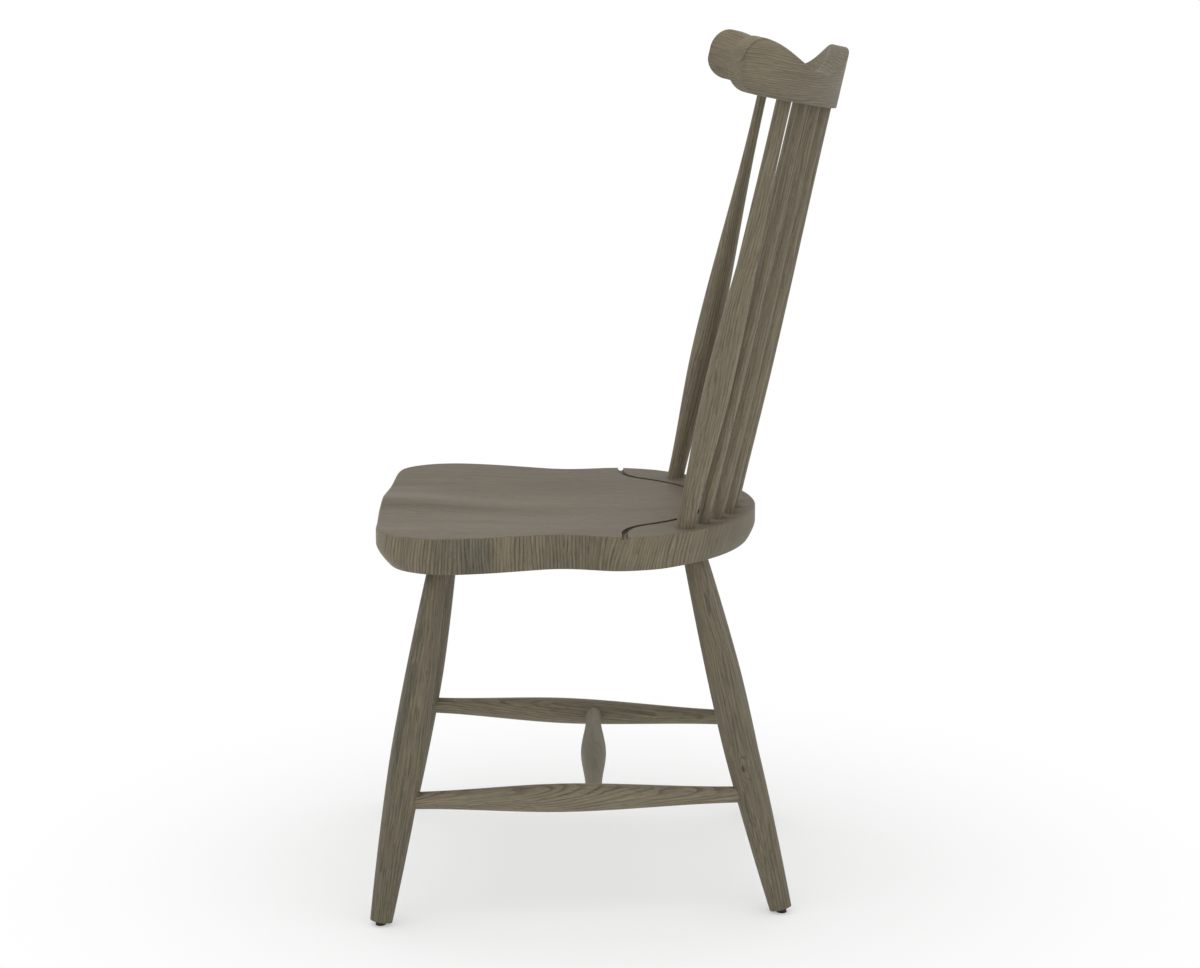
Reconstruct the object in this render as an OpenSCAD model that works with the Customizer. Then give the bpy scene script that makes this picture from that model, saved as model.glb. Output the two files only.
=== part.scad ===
// Wooden side chair with a bent crest rail, a fan of turned spindles and a saddle seat.
// Millimetres. +Z up, the chair faces -Y, origin on the floor under the middle of its outline.

/* [Seat] */
// Widest part of the seat, near its front corners
seat_w = 469; // [380:1:580]
// Depth of the seat, front to back
seat_d = 450; // [370:1:550]
// Thickness of the seat at the spindle deck
seat_t = 41; // [34:1:52]
// Height of the spindle deck above the floor
seat_h = 455; // [380:1:560]
// How much higher the rim is at the front than at the deck
seat_front_rise = 3.5; // [0:0.5:8]
// Depth of the dish that is carved into the seat
dish_depth = 7; // [2:0.5:12]
// Depth of the two leg hollows at the front edge
hollow_depth = 4.5; // [0:0.5:8]
// Rise of the pommel between the two leg hollows
pommel_rise = 2; // [0:0.5:8]
// How far the bevel under the seat runs in at the front
bevel_in = 18; // [6:1:30]
// How far it runs in at the back
bevel_back_in = 9; // [4:1:20]
// How far the bevel under the seat runs in at the sides
bevel_side = 9; // [1:0.5:12]
// Height of that bevel at the front
bevel_h = 26; // [10:1:33]
// Height of that bevel at the back
bevel_back_h = 20; // [10:1:33]
// Rounding of the top edge of the seat
seat_edge_r = 3; // [1:0.5:6]

/* [Gutter] */
// Width of the groove in front of the spindle deck
gutter_w = 7; // [4:0.5:10]
// Depth of that groove
gutter_depth = 3.5; // [2:0.5:5]
// Distance from the spindles' arc to the groove's arc
gutter_inset = 31; // [24:1:40]
// Radius with which the groove turns out to the seat's side
gutter_flare_r = 60; // [40:1:80]

/* [Legs] */
// Diameter of a leg at its foot
leg_foot_d = 26; // [22:0.5:34]
// Diameter of a leg where it is thickest
leg_belly_d = 40; // [34:0.5:48]
// Diameter of a leg where it enters the seat
leg_tenon_d = 22; // [18:0.5:30]
// Depth of a leg's tenon in the seat
leg_tenon_l = 26; // [18:1:32]
// Sideways splay of the front legs, from the sockets to the feet
front_splay_x = 64; // [60:1:130]
// Forward splay of the front legs
front_splay_y = 67; // [30:1:100]
// Sideways splay of the rear legs
rear_splay_x = 67; // [60:1:130]
// Backward splay of the rear legs
rear_splay_y = 104.5; // [60:1:130]
// Height of the middle of a leg's square-cut end above the floor
leg_end_h = 4; // [4:0.5:9]

/* [Stretchers] */
// Height of the side stretchers at the front legs
stretcher_front_h = 142; // [110:1:200]
// Height of the side stretchers at the rear legs
stretcher_rear_h = 136.5; // [110:1:200]
// Diameter of a side stretcher at its front neck
side_front_d = 20; // [17:0.5:24]
// Diameter of a side stretcher at its rear neck
side_rear_d = 19; // [16:0.5:24]
// Diameter of a side stretcher where it swells
side_belly_d = 33; // [27:0.5:38]
// Diameter of the cross stretcher at its necks
cross_neck_d = 19.5; // [17:0.5:22]
// Diameter of the cross stretcher where it swells
cross_belly_d = 31; // [24:0.5:38]
// Diameter of the round tenons at the stretchers' ends
stretcher_tenon_d = 14; // [10:0.5:15]
// Length of those tenons
stretcher_tenon_l = 13; // [10:0.5:14]
// Depth to which a stretcher's neck is let into what holds it
neck_let_in = 4.5; // [4:0.5:6]

/* [Back] */
// Height of the crest rail's lower edge above the deck, at the middle
back_h = 473; // [380:1:580]
// Angle at which the back leans, from the vertical
back_rake = 12.3; // [5:0.1:16]
// Angle between two neighbouring spindles at the seat
fan_seat_angle = 9.46; // [8:0.02:10.4]
// Angle between two neighbouring spindles at the crest rail
fan_crest_angle = 7.34; // [7:0.02:9]
// Distance from the seat's back edge to the middle of the spindles
spindle_inset = 26.5; // [18:1:32]
// Depth of the spindles' ends in the seat
spindle_seat_l = 24; // [16:1:28]
// Depth of the spindles' ends in the crest rail
spindle_crest_l = 26; // [16:1:32]

/* [Spindles] */
// Diameter of a spindle at the seat
spindle_base_d = 14; // [10:0.5:17]
// Diameter of a spindle where it swells
spindle_belly_d = 17; // [13:0.5:20]
// Diameter of a spindle at the crest rail
spindle_top_d = 12; // [9:0.5:15]
// Diameter of an outer post at the seat
post_base_d = 20.5; // [16:0.5:26]
// Diameter of an outer post where it swells
post_belly_d = 31.5; // [24:0.5:38]
// Diameter of an outer post at the crest rail
post_top_d = 12; // [10:0.5:17]

/* [Crest rail] */
// Radius to which the rail is bent, at the middle of its thickness
crest_r = 310; // [250:1:380]
// Angle from the middle of the rail to its end
crest_end_angle = 54.1; // [48:0.1:60]
// Thickness of the rail
crest_t = 23.5; // [22:0.5:32]
// Height of the hump at the middle
crest_hump_h = 70.5; // [56:0.5:84]
// Height of the rail at the two dips
crest_dip_h = 37.5; // [32:0.5:50]
// Height of the rail at its ears
crest_ear_h = 61.5; // [52:0.5:74]
// Rounding of the rail's upper edges
crest_edge_r = 4; // [1:0.5:6]
// Rounding of the rail's lower edges
crest_low_edge_r = 1.5; // [0.5:0.5:4]

/* [Glides] */
// Diameter of a glide under a leg
glide_d = 12; // [10:0.5:18]
// Diameter of the glide's pin
glide_pin_d = 4; // [3:0.5:5]
// Length of the pin in the leg
glide_pin_l = 16; // [10:1:22]

/* [Hidden] */
$fn = 64;

// Play between a tenon and its hole, on every side
clearance = 0.1;
// How far a cutting body reaches past the face that it opens
overrun = 5;
// Turn of a round body about its own axis, in degrees: it keeps the seam of its round faces
// away from the ends of slanting cuts
along_turn = 50;
// How quickly a leg swells from its ends: 1 is a straight taper
leg_bow = 1.6;
// How quickly a post thins above its belly: 1 thins it as evenly as below
post_thinning = 1.2;

// The seat's place: it is set so that the chair's outline is centred on the origin
seat_front_share = 0.61;
seat_front_y = -seat_front_share * seat_d;
seat_back_y = seat_front_y + seat_d;
seat_mid_y = (seat_front_y + seat_back_y) / 2;
seat_half_w = seat_w / 2;
seat_under_h = seat_h - seat_t;

// The seat's round back: an oval whose middle line is this share of the depth from the front
back_oval_share = 0.497;
// and whose half width is this share of the seat's half width
back_oval_w_share = 1.01;
// Power that draws in the shoulders of the oval: 1 is a true ellipse
back_oval_power = 1.04;
oval_y = seat_front_y + back_oval_share * seat_d;
oval_rx = back_oval_w_share * seat_half_w;
oval_ry = seat_back_y - oval_y;

// Seat outline from the middle of the front edge to the start of the round back,
// each point as shares of the half width and of the depth
seat_side_shares = [
    [0, 0], [0.256, 0.001], [0.512, 0.007], [0.704, 0.012], [0.800, 0.019], [0.853, 0.030],
    [0.897, 0.047], [0.940, 0.073], [0.978, 0.110], [0.997, 0.150], [1, 0.184], [0.993, 0.220],
    [0.969, 0.282], [0.942, 0.332], [0.912, 0.381], [0.874, 0.445], [0.864, 0.491], [0.872, 0.531],
    [0.893, 0.576], [0.910, 0.612], [0.914, 0.645], [0.900, 0.690], [0.872, 0.735]
];
// Where the round back starts and how it is divided, in degrees from the side
oval_angles = [33, 41, 49, 57, 65, 73, 81, 90];

// Round steps between two of the outline's points
outline_steps = 2;

// Rings of the seat's mesh: the bevel below, then the edge, then shares of the outline inwards
bevel_steps = 4;
bevel_curve = 1.4;
top_ring_shares = [0.97, 0.93, 0.88, 0.82, 0.75, 0.67, 0.58, 0.48, 0.37, 0.25, 0.12];

// Shape of the carved top, as shares of the half width or of the depth
dish_mid_share = 0.43;
dish_rx_share = 0.86;
dish_ry_share = 0.40;
hollow_x_share = 0.42;
hollow_w_share = 0.26;
hollow_fade_share = 0.60;
pommel_w_share = 0.13;
pommel_fade_share = 0.58;
rise_fade_share = 0.78;

// Leg sockets as shares of the seat's half width and of its depth from the front
front_socket_shares = [0.678, 0.170];
rear_socket_shares = [0.486, 0.822];
// Where along a leg its belly lies, from foot to seat
leg_belly_share = 0.46;
// Where along a side stretcher and a cross stretcher the belly lies
side_belly_share = 0.46;
cross_belly_share = 0.5;
// Plain share of the cross stretcher's length at each end, before it swells
cross_neck_share = 0.09;
// Where along the side stretchers the cross stretcher meets them, from the front
cross_place_share = 0.546;
// Where along a spindle and a post the belly lies, from seat to crest rail
spindle_belly_share = 0.36;
post_belly_share = 0.33;
// Rings along a turned piece
turn_steps = 16;

// The bend of the spindles' arc on the seat
spindle_rx = oval_rx - spindle_inset;
spindle_ry = oval_ry - spindle_inset;
// Nine spindles between two posts: the middle spindle is number 5, the posts are 0 and 10
middle_index = 5;

// The crest rail's own frame starts at the middle of its lower edge
crest_rake_run = back_h * tan(back_rake);
crest_base = [0, oval_y + spindle_ry + crest_rake_run, seat_h + back_h];
// Places along the rail, as shares of the way from its middle to its end
crest_dip_start_share = 0.45;
crest_dip_end_share = 0.52;
crest_ear_share = 0.92;
// Size of the ears' rounding above, and of the rounding below, along the rail and upwards,
// as shares of the rail's half length and of the ear's height
ear_top_len_share = 0.09;
ear_top_drop_share = 0.415;
ear_low_len_share = 0.109;
ear_low_rise_share = 0.38;
crest_stations = 64;

wood = [0.42, 0.40, 0.34];
wood_dark = [0.36, 0.35, 0.30];
dark_nylon = [0.12, 0.11, 0.10];

// Smooth step from 0 to 1
function smooth(u) = let (c = min(1, max(0, u))) c * c * (3 - 2 * c);
// Rounder step, steep at its start
function bow(u) = 1 - pow(1 - min(1, max(0, u)), leg_bow);
function mix(a, b, t) = a + (b - a) * t;
function mirrored(p) = [-p[0], p[1], p[2]];
function flat_mirrored(p) = [-p[0], p[1]];
function reversed(list) = [for (i = [len(list) - 1:-1:0]) list[i]];

// Curve through four neighbouring points, between the second and the third
function curve(a, b, c, d, t) = 0.5 * (
    2 * b + (c - a) * t + (2 * a - 5 * b + 4 * c - d) * t * t + (3 * b - a - 3 * c + d) * t * t * t
);
function smooth_loop(points, steps) = let (n = len(points)) [
    for (i = [0:n - 1], s = [0:steps - 1])
        curve(points[(i + n - 1) % n], points[i], points[(i + 1) % n], points[(i + 2) % n], s / steps)
];

half_outline = concat(
    [for (p = seat_side_shares) [p[0] * seat_half_w, seat_front_y + p[1] * seat_d]],
    [
        for (a = oval_angles)
            [oval_rx * pow(cos(a), back_oval_power), oval_y + oval_ry * pow(sin(a), back_oval_power)]
    ]
);
inner_half = [for (i = [1:len(half_outline) - 2]) half_outline[i]];
seat_outline = smooth_loop(
    concat(half_outline, [for (p = reversed(inner_half)) flat_mirrored(p)]), outline_steps
);

// Height of the rim and of the carved top above the deck
function rim_rise(y) = seat_front_rise * max(0, 1 - (y - seat_front_y) / (rise_fade_share * seat_d));
function gauss(u) = exp(-u * u);
function dish(x, y) = let (
    u = x / (dish_rx_share * seat_half_w),
    v = (y - seat_front_y - dish_mid_share * seat_d) / (dish_ry_share * seat_d),
    inside = max(0, 1 - u * u - v * v)
) -dish_depth * inside * inside;
function hollows(x, y) = -hollow_depth
    * gauss((abs(x) / seat_half_w - hollow_x_share) / hollow_w_share)
    * (1 - smooth((y - seat_front_y) / (hollow_fade_share * seat_d)));
function pommel(x, y) = pommel_rise
    * gauss(x / (pommel_w_share * seat_half_w))
    * (1 - smooth((y - seat_front_y) / (pommel_fade_share * seat_d)));
function seat_top(x, y) = seat_h + rim_rise(y) + dish(x, y) + hollows(x, y) + pommel(x, y);

// One ring of the seat's mesh: the outline drawn in by a share along X and along Y
function drawn_in(kx, ky) = [
    for (p = seat_outline) [p[0] * kx, seat_mid_y + (p[1] - seat_mid_y) * ky]
];
function in_share(length_in, half) = 1 - length_in / half;
function back_share(y) = (y - seat_front_y) / seat_d;
bevel_rings = [
    for (i = [0:bevel_steps]) let (in = pow(1 - i / bevel_steps, bevel_curve)) [
        for (p = seat_outline) let (
            kx = in_share(bevel_side * in, seat_half_w),
            ky = in_share(mix(bevel_in, bevel_back_in, back_share(p[1])) * in, seat_d / 2),
            h = mix(bevel_h, bevel_back_h, back_share(p[1]))
        ) [p[0] * kx, seat_mid_y + (p[1] - seat_mid_y) * ky, seat_under_h + h * i / bevel_steps]
    ]
];
// The top edge is rounded over a quarter circle in three steps
edge_angles = [0, 45, 90];
edge_rings = [
    for (a = edge_angles) let (
        in = seat_edge_r * (1 - cos(a)),
        ring = drawn_in(in_share(in, seat_half_w), in_share(in, seat_d / 2))
    ) [for (p = ring) [p[0], p[1], seat_top(p[0], p[1]) - seat_edge_r * (1 - sin(a))]]
];
top_rings = [
    for (k = top_ring_shares) let (ring = drawn_in(k, k))
        [for (p = ring) [p[0], p[1], seat_top(p[0], p[1])]]
];
seat_rings = concat(bevel_rings, edge_rings, top_rings);

// A closed body from rings of equal length, with a point or a flat face at each end
module ring_body(rings, last_point) {
    n = len(rings[0]);
    m = len(rings);
    points = concat([for (ring = rings, p = ring) p], [last_point]);
    sides = [
        for (j = [0:m - 2], i = [0:n - 1]) let (
            a = j * n + i, b = j * n + (i + 1) % n, c = a + n, d = b + n
        ) each [[a, c, b], [b, c, d]]
    ];
    low = [[for (i = [0:n - 1]) i]];
    top = [for (i = [0:n - 1]) [(m - 1) * n + i, m * n, (m - 1) * n + (i + 1) % n]];
    polyhedron(points = points, faces = concat(sides, low, top), convexity = 10);
}

// Turns Z to the direction from one point to another
module along(from, to) {
    v = to - from;
    translate(from)
        rotate([0, acos(v[2] / norm(v)), atan2(v[1], v[0])])
            rotate([0, 0, along_turn])
                children();
}

// Radius along a swelling piece, from its first end to its last; neck is the plain share of its length,
// thinning how quickly it thins after its belly
function swell(t, r0, rb, r1, belly, neck = 0, thinning = 1) = t < belly
    ? mix(r0, rb, smooth((t - neck) / (belly - neck)))
    : mix(r1, rb, pow(smooth((1 - neck - t) / (1 - neck - belly)), thinning));
function leg_radius(t) = t < leg_belly_share
    ? mix(leg_foot_d / 2, leg_belly_d / 2, bow(t / leg_belly_share))
    : mix(leg_tenon_d / 2, leg_belly_d / 2, bow((1 - t) / (1 - leg_belly_share)));

// A turned body along Z through pairs of radius and height
module turned(profile) {
    first = profile[0];
    last = profile[len(profile) - 1];
    rotate_extrude()
        polygon(concat([[0, first[1]]], profile, [[0, last[1]]]));
}

// Spindles and posts: where each meets the deck and the crest rail
function seat_point(i) = let (a = (i - middle_index) * fan_seat_angle)
    [-spindle_rx * sin(a), oval_y + spindle_ry * cos(a), seat_h];
function crest_frame(p) = crest_base + [
    p[0],
    p[1] * cos(back_rake) + p[2] * sin(back_rake),
    p[2] * cos(back_rake) - p[1] * sin(back_rake)
];
function crest_point(i) = let (a = (i - middle_index) * fan_crest_angle)
    crest_frame([-crest_r * sin(a), crest_r * (cos(a) - 1), 0]);
function is_post(i) = i == 0 || i == 2 * middle_index;
function upright_r(i) = is_post(i)
    ? [post_base_d, post_belly_d, post_top_d] / 2
    : [spindle_base_d, spindle_belly_d, spindle_top_d] / 2;

// The spindle stands clear of its holes' ends by the clearance
module upright(i) {
    from = seat_point(i);
    to = crest_point(i);
    length = norm(to - from);
    r = upright_r(i);
    belly = is_post(i) ? post_belly_share : spindle_belly_share;
    thinning = is_post(i) ? post_thinning : 1;
    profile = concat(
        [[r[0], clearance - spindle_seat_l]],
        [
            for (s = [0:turn_steps])
                [swell(s / turn_steps, r[0], r[1], r[2], belly, 0, thinning), length * s / turn_steps]
        ],
        [[r[2], length + spindle_crest_l - clearance]]
    );
    color(wood) along(from, to) turned(profile);
}

module upright_holes(i) {
    from = seat_point(i);
    to = crest_point(i);
    length = norm(to - from);
    r = upright_r(i);
    along(from, to) {
        translate([0, 0, -spindle_seat_l])
            cylinder(r = r[0] + clearance, h = spindle_seat_l + overrun);
        translate([0, 0, length - overrun])
            cylinder(r = r[2] + clearance, h = spindle_crest_l + overrun);
    }
}

// Legs: the socket on the seat's underside and the middle of the square-cut end
function socket(shares) = [shares[0] * seat_half_w, seat_front_y + shares[1] * seat_d, seat_under_h];
front_top = socket(front_socket_shares);
rear_top = socket(rear_socket_shares);
front_end = [front_top[0] + front_splay_x, front_top[1] - front_splay_y, leg_end_h];
rear_end = [rear_top[0] + rear_splay_x, rear_top[1] + rear_splay_y, leg_end_h];

module leg_socket(end, top) {
    length = norm(top - end);
    along(end, top)
        translate([0, 0, length - overrun])
            cylinder(r = leg_tenon_d / 2 + clearance, h = leg_tenon_l + overrun);
}

// A turned leg, still without its holes
module leg_body(end, top) {
    length = norm(top - end);
    profile = concat(
        [for (s = [0:turn_steps]) [leg_radius(s / turn_steps), length * s / turn_steps]],
        [[leg_tenon_d / 2, length + leg_tenon_l - clearance]]
    );
    along(end, top) turned(profile);
}

// Stretchers: their ends lie on the legs' axes
function on_leg(end, top, h) = mix(end, top, (h - end[2]) / (top[2] - end[2]));
function leg_radius_at(end, top, h) = leg_radius((h - end[2]) / (top[2] - end[2]));
front_joint = on_leg(front_end, front_top, stretcher_front_h);
rear_joint = on_leg(rear_end, rear_top, stretcher_rear_h);
side_l = norm(rear_joint - front_joint);
// Distances along a side stretcher at which its necks start and end
side_start = leg_radius_at(front_end, front_top, stretcher_front_h) - neck_let_in;
side_stop = side_l - leg_radius_at(rear_end, rear_top, stretcher_rear_h) + neck_let_in;
side_r = [side_front_d, side_belly_d, side_rear_d] / 2;
function side_radius(s) = let (t = (s - side_start) / (side_stop - side_start))
    swell(t, side_r[0], side_r[1], side_r[2], side_belly_share);

cross_joint = mix(front_joint, rear_joint, cross_place_share);
cross_far = mirrored(cross_joint);
cross_l = norm(cross_far - cross_joint);
cross_start = side_radius(cross_place_share * side_l) - neck_let_in;
cross_stop = cross_l - cross_start;
cross_r = [cross_neck_d, cross_belly_d, cross_neck_d] / 2;

// A stretcher between two points, with a neck let in and a round tenon at each end
module stretcher(from, to, start, stop, r, belly, neck = 0) {
    tenon_r = stretcher_tenon_d / 2;
    profile = concat(
        [[tenon_r, start - stretcher_tenon_l], [tenon_r, start]],
        [
            for (s = [0:turn_steps]) let (t = s / turn_steps)
                [swell(t, r[0], r[1], r[2], belly, neck), mix(start, stop, t)]
        ],
        [[tenon_r, stop], [tenon_r, stop + stretcher_tenon_l]]
    );
    along(from, to) turned(profile);
}

// The stepped hole for a stretcher's end; start is where the neck's face stands
module stretcher_hole(from, to, start, neck_r) {
    along(from, to) {
        translate([0, 0, start - stretcher_tenon_l - clearance])
            cylinder(r = stretcher_tenon_d / 2 + clearance, h = stretcher_tenon_l + overrun);
        translate([0, 0, start - clearance])
            cylinder(r = neck_r + clearance, h = leg_belly_d);
    }
}

module leg_front_holes() {
    stretcher_hole(front_joint, rear_joint, side_start, side_r[0]);
    pin_hole(front_end, front_top);
}

module leg_rear_holes() {
    stretcher_hole(rear_joint, front_joint, side_l - side_stop, side_r[2]);
    pin_hole(rear_end, rear_top);
}

module leg_front() {
    color(wood) difference() {
        leg_body(front_end, front_top);
        leg_front_holes();
    }
}

module leg_rear() {
    color(wood) difference() {
        leg_body(rear_end, rear_top);
        leg_rear_holes();
    }
}

module side_stretcher() {
    color(wood) difference() {
        stretcher(front_joint, rear_joint, side_start, side_stop, side_r, side_belly_share);
        stretcher_hole(cross_joint, cross_far, cross_start, cross_r[0]);
    }
}

module cross_stretcher() {
    color(wood_dark)
        stretcher(
            cross_joint, cross_far, cross_start, cross_stop, cross_r, cross_belly_share, cross_neck_share
        );
}

// Glides: nylon caps in line with the legs, level underneath, each with a pin in the leg
module pin_hole(end, top) {
    along(end, top)
        translate([0, 0, -overrun])
            cylinder(d = glide_pin_d + 2 * clearance, h = glide_pin_l + overrun);
}

module glide(end, top) {
    color(dark_nylon) difference() {
        along(end, top)
            turned([
                [glide_d / 2, -2 * leg_end_h],
                [glide_d / 2, 0],
                [glide_pin_d / 2, 0],
                [glide_pin_d / 2, glide_pin_l - clearance]
            ]);
        translate([end[0] - 2 * glide_d, end[1] - 2 * glide_d, -4 * leg_end_h])
            cube([4 * glide_d, 4 * glide_d, 4 * leg_end_h]);
    }
}

// The crest rail: heights of its upper and lower outline at a share of its half length
function lobe(u) = sqrt(max(0, 1 - u * u));
function crest_wave(c) = c < crest_dip_end_share
    ? mix(crest_hump_h, crest_dip_h, smooth(c / crest_dip_start_share))
    : mix(crest_dip_h, crest_ear_h, smooth((c - crest_dip_end_share) / (crest_ear_share - crest_dip_end_share)));
function crest_upper(c) = crest_wave(c)
    - ear_top_drop_share * crest_ear_h * (1 - lobe((c - 1 + ear_top_len_share) / ear_top_len_share))
    * (c > 1 - ear_top_len_share ? 1 : 0);
function crest_lower(c) = c > 1 - ear_low_len_share
    ? ear_low_rise_share * crest_ear_h * (1 - lobe((c - 1 + ear_low_len_share) / ear_low_len_share))
    : 0;

// A section of the rail: a rectangle with rounded corners, across and up
function rail_section(low, high) = let (
    rt = crest_edge_r,
    rl = crest_low_edge_r,
    w = crest_t / 2,
    corners = [
        [w - rt, high - rt, rt, 0], [rt - w, high - rt, rt, 90],
        [rl - w, low + rl, rl, 180], [w - rl, low + rl, rl, 270]
    ]
) [
    for (c = corners, a = [0, 45, 90]) [c[0] + c[2] * cos(c[3] + a), c[1] + c[2] * sin(c[3] + a)]
];

// Stations crowd towards the ends, where the ears are round
function station(i) = sin(90 * (2 * i / crest_stations - 1));
crest_rings = [
    for (i = [0:crest_stations]) let (
        c = station(i),
        a = c * crest_end_angle,
        section = rail_section(crest_lower(abs(c)), crest_upper(abs(c)))
    ) [
        for (p = section)
            crest_frame([(crest_r + p[0]) * sin(a), (crest_r + p[0]) * cos(a) - crest_r, p[1]])
    ]
];

module crest_rail() {
    last = crest_rings[crest_stations];
    middle = [for (k = [0:2]) [for (p = last) p[k]] * [for (p = last) 1] / len(last)];
    color(wood) difference() {
        ring_body(crest_rings, middle);
        for (i = [0:2 * middle_index])
            upright_holes(i);
    }
}

// The groove: an arc in front of the spindles, turning out to both sides of the seat
gutter_r = min(spindle_rx, spindle_ry) - gutter_inset;
// Where the groove leaves the seat, as a share of the depth from the front
gutter_exit_share = 0.645;
gutter_exit_y = seat_front_y + gutter_exit_share * seat_d;
flare_y = gutter_exit_y + gutter_flare_r;
flare_angle = asin((flare_y - oval_y) / (gutter_r + gutter_flare_r));
flare_x = (gutter_r + gutter_flare_r) * cos(flare_angle);
flare_steps = 7;
arc_steps = 18;
gutter_sides = 10;

// The groove's middle line from the seat's left side to the middle, then all of it
half_gutter = concat(
    [[seat_half_w + overrun, gutter_exit_y]],
    [
        for (i = [0:flare_steps]) let (a = 270 - (90 - flare_angle) * i / flare_steps)
            [flare_x + gutter_flare_r * cos(a), flare_y + gutter_flare_r * sin(a)]
    ],
    [
        for (i = [1:arc_steps]) let (a = flare_angle + (90 - flare_angle) * i / arc_steps)
            [gutter_r * cos(a), oval_y + gutter_r * sin(a)]
    ]
);
gutter_line = concat(half_gutter, [for (i = [len(half_gutter) - 2:-1:0]) flat_mirrored(half_gutter[i])]);
function line_side(i) = let (
    last = len(gutter_line) - 1,
    v = gutter_line[min(i + 1, last)] - gutter_line[max(i - 1, 0)]
) [v[1], -v[0]] / norm(v);
gutter_rings = [
    for (i = [0:len(gutter_line) - 1]) [
        for (k = [0:gutter_sides - 1]) let (
            a = 360 * k / gutter_sides,
            p = gutter_line[i] + line_side(i) * gutter_w / 2 * cos(a)
        ) [p[0], p[1], seat_h - gutter_depth * sin(a)]
    ]
];

module gutter() {
    last = gutter_line[len(gutter_line) - 1];
    ring_body(gutter_rings, [last[0], last[1], seat_h]);
}

module seat() {
    color(wood) difference() {
        ring_body(seat_rings, [0, seat_mid_y, seat_top(0, seat_mid_y)]);
        gutter();
        for (i = [0:2 * middle_index])
            upright_holes(i);
        for (side = [0, 1])
            mirror([side, 0, 0]) {
                leg_socket(front_end, front_top);
                leg_socket(rear_end, rear_top);
            }
    }
}

module right_hand() {
    mirror([1, 0, 0]) children();
}

seat();
crest_rail();
upright(0);  // post_left
upright(10);  // post_right
upright(1);  // spindle_1
upright(2);  // spindle_2
upright(3);  // spindle_3
upright(4);  // spindle_4
upright(5);  // spindle_5
upright(6);  // spindle_6
upright(7);  // spindle_7
upright(8);  // spindle_8
upright(9);  // spindle_9
leg_front();  // leg_front_left
right_hand() leg_front();  // leg_front_right
leg_rear();  // leg_rear_left
right_hand() leg_rear();  // leg_rear_right
side_stretcher();  // side_stretcher_left
right_hand() side_stretcher();  // side_stretcher_right
cross_stretcher();
glide(front_end, front_top);  // glide_front_left
right_hand() glide(front_end, front_top);  // glide_front_right
glide(rear_end, rear_top);  // glide_rear_left
right_hand() glide(rear_end, rear_top);  // glide_rear_right
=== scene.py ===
import math

import bmesh
import bpy
import numpy as np
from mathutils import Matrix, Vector


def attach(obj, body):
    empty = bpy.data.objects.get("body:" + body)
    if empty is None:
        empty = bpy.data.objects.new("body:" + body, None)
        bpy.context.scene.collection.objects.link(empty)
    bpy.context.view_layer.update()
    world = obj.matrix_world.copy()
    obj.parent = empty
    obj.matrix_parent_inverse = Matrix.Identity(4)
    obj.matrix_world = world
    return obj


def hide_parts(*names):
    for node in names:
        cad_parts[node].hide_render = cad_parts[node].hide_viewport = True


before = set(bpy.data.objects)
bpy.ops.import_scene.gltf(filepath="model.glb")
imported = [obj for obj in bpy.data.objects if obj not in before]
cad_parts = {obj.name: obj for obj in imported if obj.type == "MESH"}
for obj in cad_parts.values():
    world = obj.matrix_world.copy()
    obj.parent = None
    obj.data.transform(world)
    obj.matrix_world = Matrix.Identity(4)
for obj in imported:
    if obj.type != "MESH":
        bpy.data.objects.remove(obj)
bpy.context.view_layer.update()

# Sizes in millimetres, the same as the frame was built with. MM turns them into metres, and TINY keeps a
# division off zero.
MM = 0.001
TINY = 1e-6

SEAT_W, SEAT_D, SEAT_T, SEAT_H = 469.0, 450.0, 41.0, 455.0
SEAT_FRONT_SHARE = 0.61
SEAT_FRONT_Y = -SEAT_FRONT_SHARE * SEAT_D
SEAT_MID_Y = SEAT_FRONT_Y + SEAT_D / 2
HALF_W = SEAT_W / 2
UNDER_H = SEAT_H - SEAT_T
BEVEL_SIDE, BEVEL_FRONT, BEVEL_BACK = 9.0, 18.0, 9.0
BEVEL_FRONT_H, BEVEL_BACK_H, BEVEL_CURVE = 26.0, 20.0, 1.4
SEAT_EDGE_R = 3.0
FRONT_RISE, RISE_FADE = 3.5, 0.78
DISH_DEPTH, DISH_MID, DISH_RX, DISH_RY = 7.0, 0.43, 0.86, 0.40
HOLLOW_DEPTH, HOLLOW_X, HOLLOW_W, HOLLOW_FADE = 4.5, 0.42, 0.26, 0.60
POMMEL_RISE, POMMEL_W, POMMEL_FADE = 2.0, 0.13, 0.58

# The round back of the seat and the sides in front of it, as shares of the half width and of the depth
OVAL_Y_SHARE, OVAL_RX_SHARE = 0.497, 1.01
OVAL_Y = SEAT_FRONT_Y + OVAL_Y_SHARE * SEAT_D
OVAL_RX = OVAL_RX_SHARE * HALF_W
OVAL_RY = SEAT_FRONT_Y + SEAT_D - OVAL_Y
OVAL_POWER = 1.04
OVAL_ANGLES = (33, 41, 49, 57, 65, 73, 81, 90)
SIDE_SHARES = [
    (0, 0), (0.256, 0.001), (0.512, 0.007), (0.704, 0.012), (0.800, 0.019), (0.853, 0.030),
    (0.897, 0.047), (0.940, 0.073), (0.978, 0.110), (0.997, 0.150), (1, 0.184), (0.993, 0.220),
    (0.969, 0.282), (0.942, 0.332), (0.912, 0.381), (0.874, 0.445), (0.864, 0.491), (0.872, 0.531),
    (0.893, 0.576), (0.910, 0.612), (0.914, 0.645), (0.900, 0.690), (0.872, 0.735),
]

# The groove in front of the spindles
GUTTER_W, GUTTER_DEPTH, GUTTER_INSET, GUTTER_FLARE_R = 7.0, 3.5, 31.0, 60.0
GUTTER_EXIT = 0.645
OVERRUN = 5.0

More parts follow.
